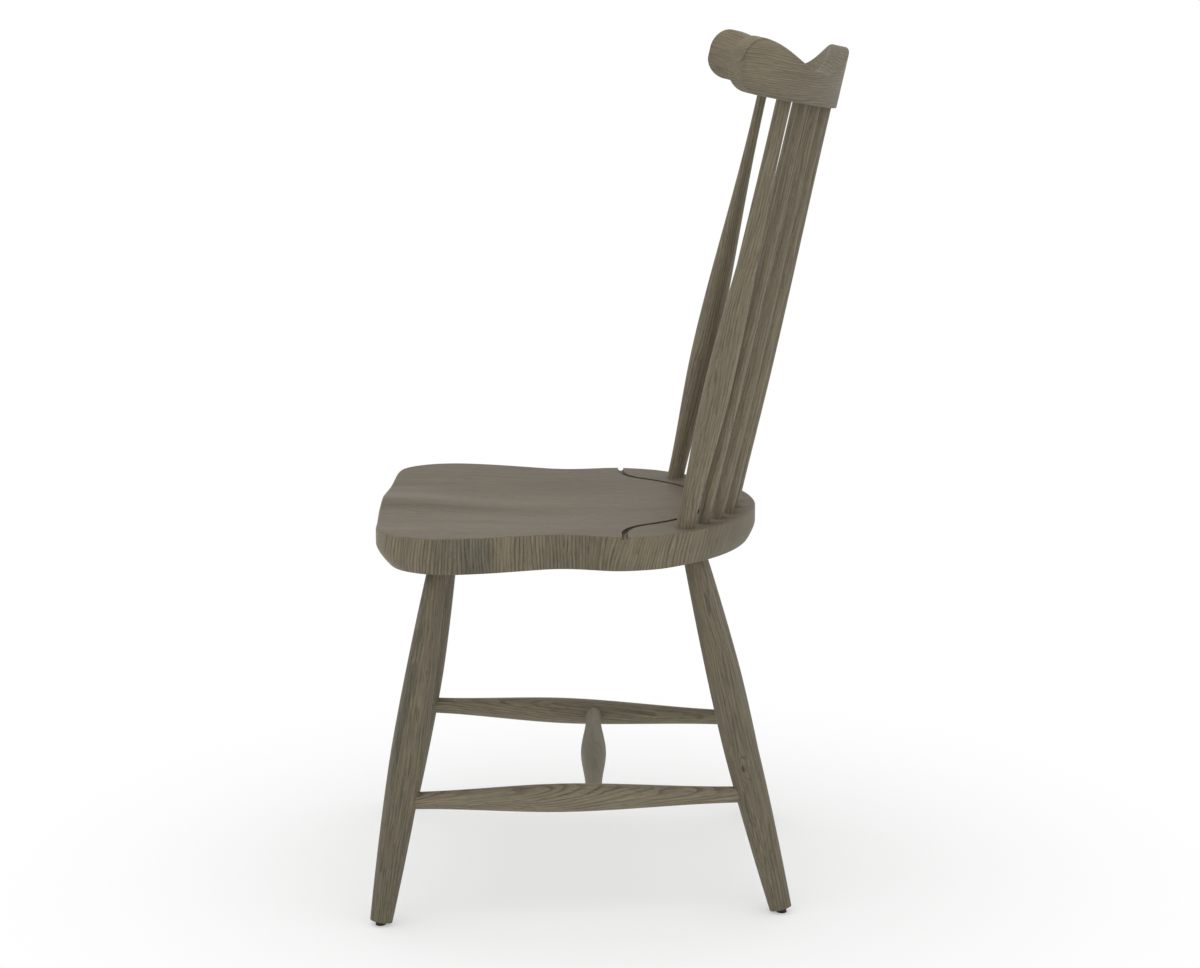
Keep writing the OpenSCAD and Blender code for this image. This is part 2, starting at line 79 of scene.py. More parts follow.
# The back: spindles 1 to 9 between the posts 0 and 10, and the bent rail above them
SPINDLE_INSET = 26.5
SPINDLE_RX, SPINDLE_RY = OVAL_RX - SPINDLE_INSET, OVAL_RY - SPINDLE_INSET
MIDDLE_SPINDLE, LAST_POST = 5, 10
FAN_SEAT_ANGLE, FAN_CREST_ANGLE = 9.46, 7.34
UPRIGHT_SEAT_L, UPRIGHT_CREST_L, PLAY = 24.0, 26.0, 0.1
SPINDLE_R, SPINDLE_BELLY = (7.0, 8.5, 6.0), 0.36
POST_R, POST_BELLY, POST_THINNING = (10.25, 15.75, 6.0), 0.33, 1.2
BACK_H, RAKE = 473.0, math.radians(12.3)
CREST_R, CREST_END, CREST_T = 310.0, math.radians(54.1), 23.5
HUMP_H, DIP_H, EAR_H = 70.5, 37.5, 61.5
DIP_START, DIP_END, EAR_START = 0.45, 0.52, 0.92
EAR_TOP_LEN, EAR_TOP_DROP, EAR_LOW_LEN, EAR_LOW_RISE = 0.09, 0.415, 0.109, 0.38
CREST_TOP_R, CREST_LOW_R, CREST_END_R = 4.0, 1.5, 0.8
CREST_BASE = np.array([0, OVAL_Y + SPINDLE_RY + BACK_H * math.tan(RAKE), SEAT_H + BACK_H])

# Legs, stretchers and glides
LEG_FOOT_R, LEG_BELLY_R, LEG_TENON_R, LEG_TENON_L = 13.0, 20.0, 11.0, 26.0
LEG_BELLY, LEG_BOW, LEG_END_H = 0.46, 1.6, 4.0
FRONT_LEG_SHARES, REAR_LEG_SHARES = (0.678, 0.170), (0.486, 0.822)
FRONT_SPLAY, REAR_SPLAY = (64.0, -67.0), (67.0, 104.5)
STRETCHER_FRONT_H, STRETCHER_REAR_H = 142.0, 136.5
SIDE_R, SIDE_BELLY = (10.0, 16.5, 9.5), 0.46
CROSS_R, CROSS_BELLY, CROSS_NECK, CROSS_PLACE = (9.75, 15.5, 9.75), 0.5, 0.09, 0.546
LET_IN, STRETCHER_TENON_L, STRETCHER_TENON_R = 4.5, 13.0, 7.0
GLIDE_R, PIN_R, PIN_L = 6.0, 2.0, 16.0


def smooth(u):
    c = np.clip(u, 0.0, 1.0)
    return c * c * (3 - 2 * c)


def mix(a, b, t):
    return a + (b - a) * t


def bell(u):
    return np.exp(-u * u)


def leg_line(shares, splay):
    """The bottom and the top of a left leg's middle line."""
    x, y = shares[0] * HALF_W, SEAT_FRONT_Y + shares[1] * SEAT_D
    return np.array([x + splay[0], y + splay[1], LEG_END_H]), np.array([x, y, UNDER_H])


FRONT_END, FRONT_TOP = leg_line(FRONT_LEG_SHARES, FRONT_SPLAY)
REAR_END, REAR_TOP = leg_line(REAR_LEG_SHARES, REAR_SPLAY)


# Meshes
def rings_body(rings):
    """Vertices and faces of a tube through rings of equal length, with a fan of triangles at each end."""
    m, n = len(rings), len(rings[0])
    points = [tuple(p) for ring in rings for p in ring]
    faces = []
    for j in range(m - 1):
        for i in range(n):
            a, b = j * n + i, j * n + (i + 1) % n
            faces.append((a, b, b + n, a + n))
    for j, under in ((0, True), (m - 1, False)):
        k = len(points)
        points.append(tuple(np.mean(np.array(rings[j]), axis=0)))
        for i in range(n):
            a, b = j * n + i, j * n + (i + 1) % n
            faces.append((b, a, k) if under else (a, b, k))
    return points, faces


def crease(bm, sharp):
    """Smooth faces, with edges steeper than sharp degrees left crisp."""
    limit = math.radians(sharp)
    for face in bm.faces:
        face.smooth = True
    for edge in bm.edges:
        edge.smooth = len(edge.link_faces) != 2 or edge.calc_face_angle(0.0) < limit


def make_object(name, points, faces, sharp=40.0):
    """A mesh object in metres from millimetres."""
    mesh = bpy.data.meshes.new(name)
    mesh.from_pydata([tuple(c * MM for c in p) for p in points], [], faces)
    bm = bmesh.new()
    bm.from_mesh(mesh)
    bmesh.ops.recalc_face_normals(bm, faces=bm.faces)
    crease(bm, sharp)
    bm.to_mesh(mesh)
    bm.free()
    obj = bpy.data.objects.new(name, mesh)
    bpy.context.scene.collection.objects.link(obj)
    return obj


def paint(obj, **layers):
    """Corner attributes that the wood reads: grain, look, stain and knot, as stained_wood says."""
    mesh = obj.data
    for name, values in layers.items():
        values = np.broadcast_to(np.asarray(values, np.float32), (len(mesh.loops), 3))
        layer = mesh.attributes.new(name, "FLOAT_VECTOR", "CORNER")
        layer.data.foreach_set("vector", np.ascontiguousarray(values).reshape(-1))


def corner_places(mesh):
    """The place of each corner in millimetres, and its vertex."""
    co = np.zeros(len(mesh.vertices) * 3)
    mesh.vertices.foreach_get("co", co)
    index = np.zeros(len(mesh.loops), np.int32)
    mesh.loops.foreach_get("vertex_index", index)
    return co.reshape(-1, 3)[index] / MM, index


def corner_normals(mesh):
    """The normal of the face that each corner belongs to."""
    normals = np.zeros((len(mesh.loops), 3))
    for poly in mesh.polygons:
        normals[poly.loop_start:poly.loop_start + poly.loop_total] = poly.normal
    return normals


def finish(obj, *nodes, slot="stained_wood"):
    obj.data.materials.append(MATERIALS[slot])
    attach(obj, "root")
    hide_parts(*nodes)


NEARLY_LEVEL = 0.8


def frame_along(start, end):
    """Columns: the piece's own X, Y and Z axes, with Z from start to end."""
    z = (end - start) / np.linalg.norm(end - start)
    side = np.array([0.0, 1.0, 0.0] if abs(z[1]) < NEARLY_LEVEL else [1.0, 0.0, 0.0])
    x = np.cross(side, z)
    x /= np.linalg.norm(x)
    return np.column_stack([x, np.cross(z, x), z])


# What the wood reads where there is no knot near, how much closer or wider the rings stand than in the
# material, how much marking a spot adds, and how pink the stain is
NO_KNOT = (1.0, 1.0, 1.0)
CLOSE_GRAIN, OPEN_GRAIN = 1.2, 0.5
SPOT, PINK = 1.3, 0.004


class Board:
    """The piece of board that a turned piece is cut from: where its pith lies from the piece's axis, how it
    leans to the piece's own X and Y, how far along the board it starts, and how its stain came out.
    tones go from the piece's start to its end; on the legs they darken towards the feet as painted shade.
    spots are darker places: the height, the step towards the chair's back as a share of the radius, and the
    size along and across in the same measures."""

    def __init__(self, pith, lean, start, tones, marks, lines=0.8, fine=1.0, warmth=0.0, knots=(), spots=()):
        self.pith, self.lean, self.start = pith, lean, start
        self.lines, self.tones, self.fine = lines, tones, fine
        self.marks, self.warmth, self.knots, self.spots = marks, warmth, knots, spots


def turned(name, start, end, profile, board, sides=48):
    """A turned piece through (distance, radius) pairs along the line from start to end."""
    start, end = np.asarray(start, float), np.asarray(end, float)
    axes = frame_along(start, end)
    angles = np.arange(sides) * 2 * math.pi / sides
    circle = np.column_stack([np.cos(angles), np.sin(angles), np.zeros(sides)])
    rings = [start + (circle * r + [0, 0, s]) @ axes.T for s, r in profile]
    points, faces = rings_body(rings)
    obj = make_object(name, points, faces)
    place, _ = corner_places(obj.data)
    own = (place - start) @ axes
    length = np.linalg.norm(end - start)
    lean_x, lean_y = (math.tan(math.radians(a)) for a in board.lean)
    grain = own + [board.pith[0], board.pith[1], board.start]
    grain[:, 0] += own[:, 2] * lean_x
    grain[:, 1] += own[:, 2] * lean_y
    grain[:, :2] *= CLOSE_GRAIN
    tone = mix(board.tones[0], board.tones[1], np.clip(own[:, 2] / length, 0, 1))
    look = np.column_stack([np.full(len(own), board.lines), tone, np.full(len(own), board.fine)])
    radial = own * [1, 1, 0] @ axes.T
    to_back = radial[:, 1] / np.maximum(TINY, np.linalg.norm(radial, axis=1))
    marks = np.full(len(own), board.marks)
    for height, step, size_along, size_across in board.spots:
        marks += SPOT * bell((place[:, 2] - height) / size_along) * bell((to_back - step) / size_across)
    stain = np.column_stack([marks, np.full(len(own), board.warmth), np.full(len(own), PINK)])
    knot = np.tile(NO_KNOT, (len(own), 1))
    for centre in board.knots:
        away = (place - centre) @ axes * MM
        nearer = np.linalg.norm(away, axis=1) < np.linalg.norm(knot, axis=1)
        knot[nearer] = away[nearer]
    paint(obj, grain=grain * MM, look=look, stain=stain, knot=knot)
    return obj


def eased(profile, r, steps=3):
    """The profile with both end edges rounded."""
    (s0, r0), (s1, r1) = profile[0], profile[-1]
    turns = [math.pi / 2 * k / steps for k in range(1, steps)]
    head = [(s0, r0 - r)] + [(s0 + r * (1 - math.cos(a)), r0 - r * (1 - math.sin(a))) for a in turns]
    tail = [(s1 - r * (1 - math.sin(a)), r1 - r * (1 - math.cos(a))) for a in turns] + [(s1, r1 - r)]
    return head + [(s0 + r, r0)] + list(profile[1:-1]) + [(s1 - r, r1)] + tail


# Materials
class Graph:
    """Short calls for building a node tree."""

    def __init__(self, material):
        material.use_nodes = True
        self.tree = material.node_tree
        self.tree.nodes.clear()

    def add(self, kind, inputs=None, **props):
        node = self.tree.nodes.new(kind)
        for key, value in props.items():
            setattr(node, key, value)
        for key, value in (inputs or {}).items():
            self.put(node.inputs[key], value)
        return node

    def put(self, socket, value):
        if isinstance(value, bpy.types.NodeSocket):
            self.tree.links.new(value, socket)
        else:
            socket.default_value = value

    def read(self, name):
        return self.add("ShaderNodeAttribute", attribute_name=name).outputs["Vector"]

    def parts(self, vector):
        return self.add("ShaderNodeSeparateXYZ", {"Vector": vector}).outputs

    def math(self, op, *values):
        node = self.add("ShaderNodeMath", operation=op)
        for socket, value in zip(node.inputs, values):
            self.put(socket, value)
        return node.outputs[0]

    def product(self, *values):
        out = values[0]
        for value in values[1:]:
            out = self.math("MULTIPLY", out, value)
        return out

    def span(self, value, low, high, to_low=0.0, to_high=1.0, kind="SMOOTHSTEP"):
        node = self.add("ShaderNodeMapRange", interpolation_type=kind)
        for socket, v in zip(node.inputs, (value, low, high, to_low, to_high)):
            self.put(socket, v)
        return node.outputs[0]

    def vector(self, op, a, b=None, scale=None):
        node = self.add("ShaderNodeVectorMath", operation=op)
        self.put(node.inputs[0], a)
        if b is not None:
            self.put(node.inputs[1], b)
        if scale is not None:
            self.put(node.inputs["Scale"], scale)
        return node.outputs["Value"] if op == "LENGTH" else node.outputs["Vector"]

    def noise(self, at, scale, detail=2.0, rough=0.5, out="Fac"):
        inputs = {"Vector": at, "Scale": scale, "Detail": detail, "Roughness": rough}
        return self.add("ShaderNodeTexNoise", inputs).outputs[out]

    def stretched(self, at, along):
        """The place with its Z shortened to a share, which draws a pattern out along the grain."""
        return self.vector("MULTIPLY", at, (1.0, 1.0, along))

    def drawn_noise(self, at, along, scale, detail, rough):
        return self.noise(self.stretched(at, along), scale, detail, rough)

    def wander(self, at, scale, amount):
        """A vector that wanders by about the amount, in metres."""
        centred = self.vector("SUBTRACT", self.noise(at, scale, out="Color"), (0.5, 0.5, 0.5))
        return self.vector("SCALE", centred, scale=amount)

    def blend(self, share, a, b):
        node = self.add("ShaderNodeMix", data_type="RGBA", blend_type="MIX")
        self.put(node.inputs[0], share)
        self.put(node.inputs[6], a)
        self.put(node.inputs[7], b)
        return node.outputs[2]

    def surface(self, colour, roughness, specular, height, bump):
        """The shader with a bump from the height, and the output. bump is its strength and distance."""
        normal = self.add("ShaderNodeBump", {"Strength": bump[0], "Distance": bump[1], "Height": height})
        shader = self.add("ShaderNodeBsdfPrincipled", {
            "Base Color": colour,
            "Roughness": roughness,
            "Specular IOR Level": specular,
            "Normal": normal.outputs[0],
        })
        self.add("ShaderNodeOutputMaterial", {"Surface": shader.outputs[0]})


# The stain: the two colours of the plain wood, and those of the ring lines, the darker patches and a knot
TAN, OLIVE = (0.184, 0.158, 0.107, 1), (0.146, 0.129, 0.090, 1)
UMBER, MOSS = (0.064, 0.055, 0.040, 1), (0.112, 0.107, 0.074, 1)
KNOT_BROWN = (0.040, 0.034, 0.026, 1)

# Growth rings. A slow wander and small waves bend them: share along the grain, scale, amount in metres.
# Each ring darkens slowly to its line, which ends sharply and fades in places.
RING_SPACING = 0.0040
SLOW_BEND, SMALL_BEND = (0.20, 22.0, 0.024), (0.30, 85.0, 0.0036)
LINE_RISE, LINE_FALL, LINE_DARK = (0.46, 0.90), (1.0, 0.94), 0.62
LINE_FADE_SCALE, LINE_FADE = 60.0, (0.30, 0.60, 0.35, 1.0)

# A knot pushes the rings aside within its reach, and its core is dark
KNOT_ALONG, KNOT_REACH, KNOT_PUSH = 0.55, 0.013, 0.008
KNOT_CORE, KNOT_DARK = (0.0028, 0.0010), 0.6

# Noises drawn out along the grain: share along it, scale, detail, roughness. Streaks show from a step away,
# and the drift is between the wood's two plain colours.
STREAK, STREAK_SPAN, STREAK_TONE = (0.045, 430.0, 3.0, 0.65), (0.26, 0.74), 0.28
FIBRE, FIBRE_SPAN, FIBRE_TONE = (0.030, 1300.0, 2.0, 0.6), (0.25, 0.75), 0.16
PORE, PORE_SPAN, PORE_TONE = (0.07, 900.0, 1.0, 0.5), (0.60, 0.72), 0.30
DRIFT, DRIFT_SPAN = (0.08, 60.0, 3.0, 0.65), (0.25, 0.75)

# The darker patches, and what marks of 0 and 1 add to their noise
PATCH, PATCH_SPAN, PATCH_SHIFT = (0.11, 80.0, 4.0, 0.6), (0.56, 0.60), (-0.16, 0.11)

STREAK_LIFT, PORE_DENT, LINE_DENT, WOOD_BUMP = 0.5, 0.6, 0.4, (0.3, 0.0004)
WOOD_ROUGHNESS, WOOD_SPECULAR = (0.52, 0.66), 0.18

# Nylon, fresh and worn, with the scale, detail and roughness of its grime and scuffs
NYLON, NYLON_WORN = (0.018, 0.016, 0.013, 1), (0.040, 0.036, 0.030, 1)
GRIME, SCUFF, SCUFF_SPAN = (420.0, 3.0, 0.6), (90.0, 2.0, 0.5), (0.4, 0.7)
NYLON_BUMP, NYLON_ROUGHNESS, NYLON_SPECULAR = (0.3, 0.0002), (0.50, 0.70), 0.3

# The part of a noise's range that its roughness takes up
ROUGH_SPAN = (0.3, 0.7)


def stained_wood():
    """Wood from four corner attributes. grain is the place in the board in metres, with Z along the grain.
    look is how strong the ring lines are, a tone to add, which in places is painted light and shade, and how
    strong the fine streaks are. stain is how much dark marking there is, how warm it is and how pink. knot
    is the place from the nearest knot."""
    material = bpy.data.materials.new("stained_wood")
    g = Graph(material)
    grain = g.read("grain")
    lines, tone, fine = g.parts(g.read("look"))
    marks, warmth, pink = g.parts(g.read("stain"))
    from_knot = g.vector("LENGTH", g.stretched(g.read("knot"), KNOT_ALONG))

    slow, small = (g.stretched(grain, bend[0]) for bend in (SLOW_BEND, SMALL_BEND))
    bent = g.vector("ADD", grain, g.wander(slow, *SLOW_BEND[1:]))
    bent = g.vector("ADD", bent, g.wander(small, *SMALL_BEND[1:]))
    radius = g.vector("LENGTH", g.stretched(bent, 0.0))
    radius = g.math("ADD", radius, g.span(from_knot, KNOT_REACH, 0.0, 0.0, KNOT_PUSH))
    ring = g.math("FRACT", g.math("DIVIDE", radius, RING_SPACING))
    line = g.product(g.span(ring, *LINE_RISE), g.span(ring, *LINE_FALL))
    line = g.product(line, g.span(g.noise(slow, LINE_FADE_SCALE), *LINE_FADE))
    streak, fibre, pore, patch, drift = (
        g.drawn_noise(bent, *values) for values in (STREAK, FIBRE, PORE, PATCH, DRIFT)
    )
    pores = g.span(pore, *PORE_SPAN)

    body = g.blend(g.span(drift, *DRIFT_SPAN, kind="LINEAR"), OLIVE, TAN)
    marked = g.math("ADD", patch, g.span(marks, 0.0, 1.0, *PATCH_SHIFT, "LINEAR"))
    body = g.blend(g.span(marked, *PATCH_SPAN), body, MOSS)
    body = g.blend(g.product(line, lines, LINE_DARK), body, UMBER)
    body = g.blend(g.span(from_knot, *KNOT_CORE, 0.0, KNOT_DARK), body, KNOT_BROWN)
    streaks = g.product(g.span(streak, *STREAK_SPAN, -STREAK_TONE, STREAK_TONE, "LINEAR"), fine)
    fibres = g.product(g.span(fibre, *FIBRE_SPAN, -FIBRE_TONE, FIBRE_TONE, "LINEAR"), fine)
    shade = g.math("ADD", g.math("ADD", 1.0, tone), g.math("ADD", streaks, fibres))
    shade = g.product(shade, g.math("SUBTRACT", 1.0, g.product(pores, fine, PORE_TONE)))
    tint = g.add("ShaderNodeCombineXYZ", {
        "X": g.math("ADD", 1.0, warmth),
        "Y": g.math("SUBTRACT", 1.0, pink),
        "Z": g.math("SUBTRACT", 1.0, warmth),
    }).outputs[0]
    colour = g.vector("MULTIPLY", g.vector("SCALE", body, scale=shade), tint)

    dents = g.math("ADD", g.product(pores, PORE_DENT), g.product(line, lines, LINE_DENT))
    height = g.math("SUBTRACT", g.product(streak, STREAK_LIFT), dents)
    roughness = g.span(streak, *ROUGH_SPAN, *WOOD_ROUGHNESS, "LINEAR")
    g.surface(colour, roughness, WOOD_SPECULAR, height, WOOD_BUMP)
    return material


def dark_nylon():
    material = bpy.data.materials.new("dark_nylon")
    g = Graph(material)
    at = g.add("ShaderNodeTexCoord").outputs["Object"]
    grime = g.noise(at, *GRIME)
    colour = g.blend(g.span(g.noise(at, *SCUFF), *SCUFF_SPAN), NYLON, NYLON_WORN)
    roughness = g.span(grime, *ROUGH_SPAN, *NYLON_ROUGHNESS, "LINEAR")
    g.surface(colour, roughness, NYLON_SPECULAR, grime, NYLON_BUMP)
    return material


MATERIALS = {"stained_wood": stained_wood(), "dark_nylon": dark_nylon()}


# Seat: the counts of its steps, the places of its rings as shares from the middle and up the side, and how
# closely the cut groove's points are joined
OUTLINE_STEPS, SIDE_STEPS, TOP_RINGS = 7, 12, 44
FLARE_STEPS, ARC_STEPS, GUTTER_SIDES = 24, 60, 24
UNDER_SHARES = (0.25, 0.5, 0.75, 0.9, 0.985)
UPPER_SIDE_SHARES = (0.35, 0.7)
TOP_SHARES = (0.975, 0.04)
EDGE_ANGLES = (0, 15, 30, 45, 60, 75, 90)
UNDER_EASE, WELD, SEAT_SHARP = 0.7, 0.02, 38.0


def seat_outline():
    half = [(x * HALF_W, SEAT_FRONT_Y + y * SEAT_D) for x, y in SIDE_SHARES]
    for a in np.radians(OVAL_ANGLES):
        across, back = abs(math.cos(a)) ** OVAL_POWER, math.sin(a) ** OVAL_POWER
        half.append((OVAL_RX * across, OVAL_Y + OVAL_RY * back))
    half = np.array(half)
    loop = np.concatenate([half, half[1:-1][::-1] * [-1, 1]])
    n = len(loop)
    out = []
    for i in range(n):
        a, b, c, d = loop[i - 1], loop[i], loop[(i + 1) % n], loop[(i + 2) % n]
        for t in np.arange(OUTLINE_STEPS) / OUTLINE_STEPS:
            cubic = (2 * a - 5 * b + 4 * c - d) * t ** 2 + (3 * b - a - 3 * c + d) * t ** 3
            out.append((2 * b + (c - a) * t + cubic) / 2)
    return np.array(out)


def seat_top(x, y):
    """Height of the carved top."""
    back = (y - SEAT_FRONT_Y) / SEAT_D
    side = np.abs(x) / HALF_W
    rim = FRONT_RISE * np.maximum(0, 1 - back / RISE_FADE)
    inside = np.maximum(0, 1 - (side / DISH_RX) ** 2 - ((back - DISH_MID) / DISH_RY) ** 2)
    hollows = HOLLOW_DEPTH * bell((side - HOLLOW_X) / HOLLOW_W) * (1 - smooth(back / HOLLOW_FADE))
    pommel = POMMEL_RISE * bell(side / POMMEL_W) * (1 - smooth(back / POMMEL_FADE))
    return SEAT_H + rim - DISH_DEPTH * inside ** 2 - hollows + pommel


def gutter_path():
    """Middle line of the groove, from one side of the seat round to the other."""
    r = min(SPINDLE_RX, SPINDLE_RY) - GUTTER_INSET
    exit_y = SEAT_FRONT_Y + GUTTER_EXIT * SEAT_D
    flare_y = exit_y + GUTTER_FLARE_R
    angle = math.asin((flare_y - OVAL_Y) / (r + GUTTER_FLARE_R))
    flare_x = (r + GUTTER_FLARE_R) * math.cos(angle)
    half = [(HALF_W + OVERRUN, exit_y)]
    for a in np.linspace(1.5 * math.pi, math.pi + angle, FLARE_STEPS + 1):
        half.append((flare_x + GUTTER_FLARE_R * math.cos(a), flare_y + GUTTER_FLARE_R * math.sin(a)))
    for a in np.linspace(angle, math.pi / 2, ARC_STEPS + 1)[1:]:
        half.append((r * math.cos(a), OVAL_Y + r * math.sin(a)))
    half = np.array(half)
    return np.concatenate([half, half[:-1][::-1] * [-1, 1]])


def seat_rings(edge):
    """Rings of the seat from the middle of its underside up the bevel and side to the middle of its top."""
    back = (edge[:, 1] - SEAT_FRONT_Y) / SEAT_D
    bevel_in = mix(BEVEL_FRONT, BEVEL_BACK, back)
    bevel_h = mix(BEVEL_FRONT_H, BEVEL_BACK_H, back)

    def drawn(in_x, in_y):
        kx, ky = 1 - in_x / HALF_W, 1 - 2 * in_y / SEAT_D
        return np.column_stack([edge[:, 0] * kx, SEAT_MID_Y + (edge[:, 1] - SEAT_MID_Y) * ky])

    def level(p, z):
        return np.column_stack([p, np.broadcast_to(z, len(p))])

    def shrunk(p, k):
        return np.column_stack([p[:, 0] * k, SEAT_MID_Y + (p[:, 1] - SEAT_MID_Y) * k])

    low = drawn(BEVEL_SIDE, bevel_in)
    rings = [level(shrunk(low, k), UNDER_H) for k in UNDER_SHARES]
    for t in np.arange(SIDE_STEPS + 1) / SIDE_STEPS:
        inset = (1 - t) ** BEVEL_CURVE
        lift = UNDER_EASE if t == 0 else 0.0
        rings.append(level(drawn(BEVEL_SIDE * inset, bevel_in * inset), UNDER_H + bevel_h * t + lift))
    rim = seat_top(edge[:, 0], edge[:, 1]) - SEAT_EDGE_R
    for t in UPPER_SIDE_SHARES:
        rings.append(level(edge, mix(UNDER_H + bevel_h, rim, t)))
    for a in np.radians(EDGE_ANGLES):
        inset = SEAT_EDGE_R * (1 - math.cos(a))
        p = drawn(inset, inset)
        rings.append(level(p, seat_top(p[:, 0], p[:, 1]) - SEAT_EDGE_R * (1 - math.sin(a))))
    for k in np.linspace(*TOP_SHARES, TOP_RINGS):
        p = shrunk(edge, k)
        rings.append(level(p, seat_top(p[:, 0], p[:, 1])))
    return rings


def cut_groove(obj):
    """Cuts the groove with a round bar swept along its middle line."""
    path = gutter_path()
    ahead = np.vstack([path[1:], path[-1:]]) - np.vstack([path[:1], path[:-1]])
    ahead /= np.linalg.norm(ahead, axis=1)[:, None]
    rings = []
    turns = np.arange(GUTTER_SIDES) * 2 * math.pi / GUTTER_SIDES
    for (x, y), (ahead_x, ahead_y) in zip(path, ahead * GUTTER_W / 2):
        rings.append([
            (x + ahead_y * math.cos(a), y - ahead_x * math.cos(a), SEAT_H - GUTTER_DEPTH * math.sin(a))
            for a in turns
        ])
    cutter = make_object("groove_cutter", *rings_body(rings))
    boolean = obj.modifiers.new("groove", "BOOLEAN")
    boolean.operation = "DIFFERENCE"
    boolean.solver = "EXACT"
    boolean.object = cutter
    whole = obj.data
    obj.data = bpy.data.meshes.new_from_object(obj.evaluated_get(bpy.context.evaluated_depsgraph_get()))
    obj.modifiers.clear()
    bpy.data.meshes.remove(whole)
    bpy.data.objects.remove(cutter)
    bm = bmesh.new()
    bm.from_mesh(obj.data)
    bmesh.ops.remove_doubles(bm, verts=bm.verts, dist=WELD * MM)
    crease(bm, SEAT_SHARP)
    bm.to_mesh(obj.data)
    bm.free()


# The side, which shows the boards' upright grain, is what is steeper than SIDE_NORMAL and clear of the top,
# and the bevel's zone. The groove's wall, darkened with painted shade, is what is steep and near its middle
# line, without the cut ends at the seat's side.
SIDE_NORMAL, TOP_CLEAR, BEVEL_ZONE, UNDER_CLEAR = 0.80, 0.4, 19.0, 0.5
GROOVE_NORMAL, GROOVE_LOW, GROOVE_NEAR, GROOVE_BACK = 0.95, 1.0, 0.8, 0.5
GROOVE_END_X, GROOVE_END_NORMAL = 226.0, 0.85

# The place in the board. Round the side the grain stands upright, leans a little across the seat and slants
# near its front and back: amount, share of the depth where it starts, and share that it takes to come in.
EDGE_Y, EDGE_PITH, EDGE_LEAN_X, EDGE_LEAN_Y = 400.0, 30.0, 0.12, 0.02
REAR_SLANT, FRONT_SLANT = (0.26, 0.56, 0.08), (0.16, 0.22, 0.06)
TOP_PITH_X, TOP_PITH_DEEP = 340.0, 150.0

# The boards along the seat's side: where each ends as a share of the depth, its tone and its warmth
SIDE_BOARDS = (
    (0.06, 0.00, 0.00), (0.16, 0.03, 0.02), (0.235, -0.12, -0.01), (0.31, -0.17, -0.03),
    (0.44, 0.06, 0.02), (0.60, -0.08, 0.01), (0.66, -0.02, 0.01), (0.86, 0.06, 0.02), (1.01, -0.02, 0.00),
)
BOARD_JOINT = 0.012

# The bands on the seat's top: the place across, half the width and the tone. The dark band at 42 is painted
# shade on the pommel's near flank. They swing, and fade to the back.
TOP_BANDS_AND_FLANK_SHADE = (
    (-150, 22, 0.05), (-112, 13, -0.06), (-66, 15, -0.06), (-2, 18, 0.05), (42, 20, -0.21),
    (80, 15, 0.04), (124, 9, -0.07), (166, 14, 0.04), (196, 8, -0.03),
)
BAND_SWING, BAND_TURNS = 6, 5
BAND_FADE, BAND_FADE_START, BAND_FADE_LEN = 0.6, 0.15, 0.45

# Tones: the top, painted shade on its far side, a painted shadow behind the feet of the spindles, painted
# shade in the groove, and painted light on the seat's front and painted shade on its back, where the edge
# turns away from X
TOP_TONE, FAR_SHADE_TONE, FAR_X = -0.05, -0.11, 170.0
FOOT_SHADOW_TONE, FOOT_REACH, FOOT_OUT, FOOT_BACK = -0.28, 14.0, 1.02, 3.0
GROOVE_SHADE_TONE = -0.55
TURN_LIGHT_AND_SHADE, TURN_START, TURN_LEN = (0.20, -0.17), 0.3, 0.4
FACING_START, FACING_LEN = 0.45, 0.4

# Ring lines and fine streaks where the edge turns away and where it faces X, and on the top
SIDE_LINES, SIDE_FINE = (0.12, 1.2), (0.35, 1.0)
TOP_LINES, TOP_FINE, TOP_PINK = 0.35, 0.70, 0.035


def seat_zones(p, normal, back):
    """Which corners lie on the seat's side and which in the groove."""
    level = np.abs(normal[:, 2])
    side = (level < SIDE_NORMAL) & (p[:, 2] < seat_top(p[:, 0], p[:, 1]) - TOP_CLEAR)
    side |= (p[:, 2] < UNDER_H + BEVEL_ZONE) & (p[:, 2] > UNDER_H + UNDER_CLEAR)
    bottom = SEAT_H - GUTTER_DEPTH - GROOVE_LOW
    near = np.flatnonzero((p[:, 2] > bottom) & (back > GROOVE_BACK) & (level < GROOVE_NORMAL))
    path = gutter_path()
    off = [np.min(np.hypot(*(path - q[:2]).T)) for q in p[near]]
    groove = np.zeros(len(p), bool)
    groove[near] = np.array(off) < GUTTER_W / 2 + GROOVE_NEAR
    groove &= (np.abs(p[:, 0]) < GROOVE_END_X) | (np.abs(normal[:, 0]) < GROOVE_END_NORMAL)
    return side & ~groove, groove


def seat_grain(p, back, side):
    """The place in the board: upright grain round the side, and grain along Y on the top and underside."""
    amount, start, length = REAR_SLANT
    slant = amount * smooth((back - start) / length)
    amount, start, length = FRONT_SLANT
    slant += amount * smooth((start - back) / length)
    upright = np.column_stack([
        p[:, 1] + p[:, 0] * EDGE_LEAN_X - (p[:, 2] - UNDER_H) * slant + EDGE_Y,
        np.full(len(p), EDGE_PITH),
        p[:, 2] + p[:, 1] * EDGE_LEAN_Y,
    ])
    flat = np.column_stack([
        (p[:, 0] + TOP_PITH_X) * OPEN_GRAIN, p[:, 2] - SEAT_H + TOP_PITH_DEEP, p[:, 1],
    ])
    return np.where(side[:, None], upright, flat) * MM


def side_boards(back):
    """Tone and warmth of the boards along the side."""
    tone, warmth = np.full(len(back), SIDE_BOARDS[0][1]), np.full(len(back), SIDE_BOARDS[0][2])
    for (end, t0, w0), (_, t1, w1) in zip(SIDE_BOARDS, SIDE_BOARDS[1:]):
        past = smooth((back - end) / BOARD_JOINT + 0.5)
        tone += (t1 - t0) * past
        warmth += (w1 - w0) * past
    return tone, warmth


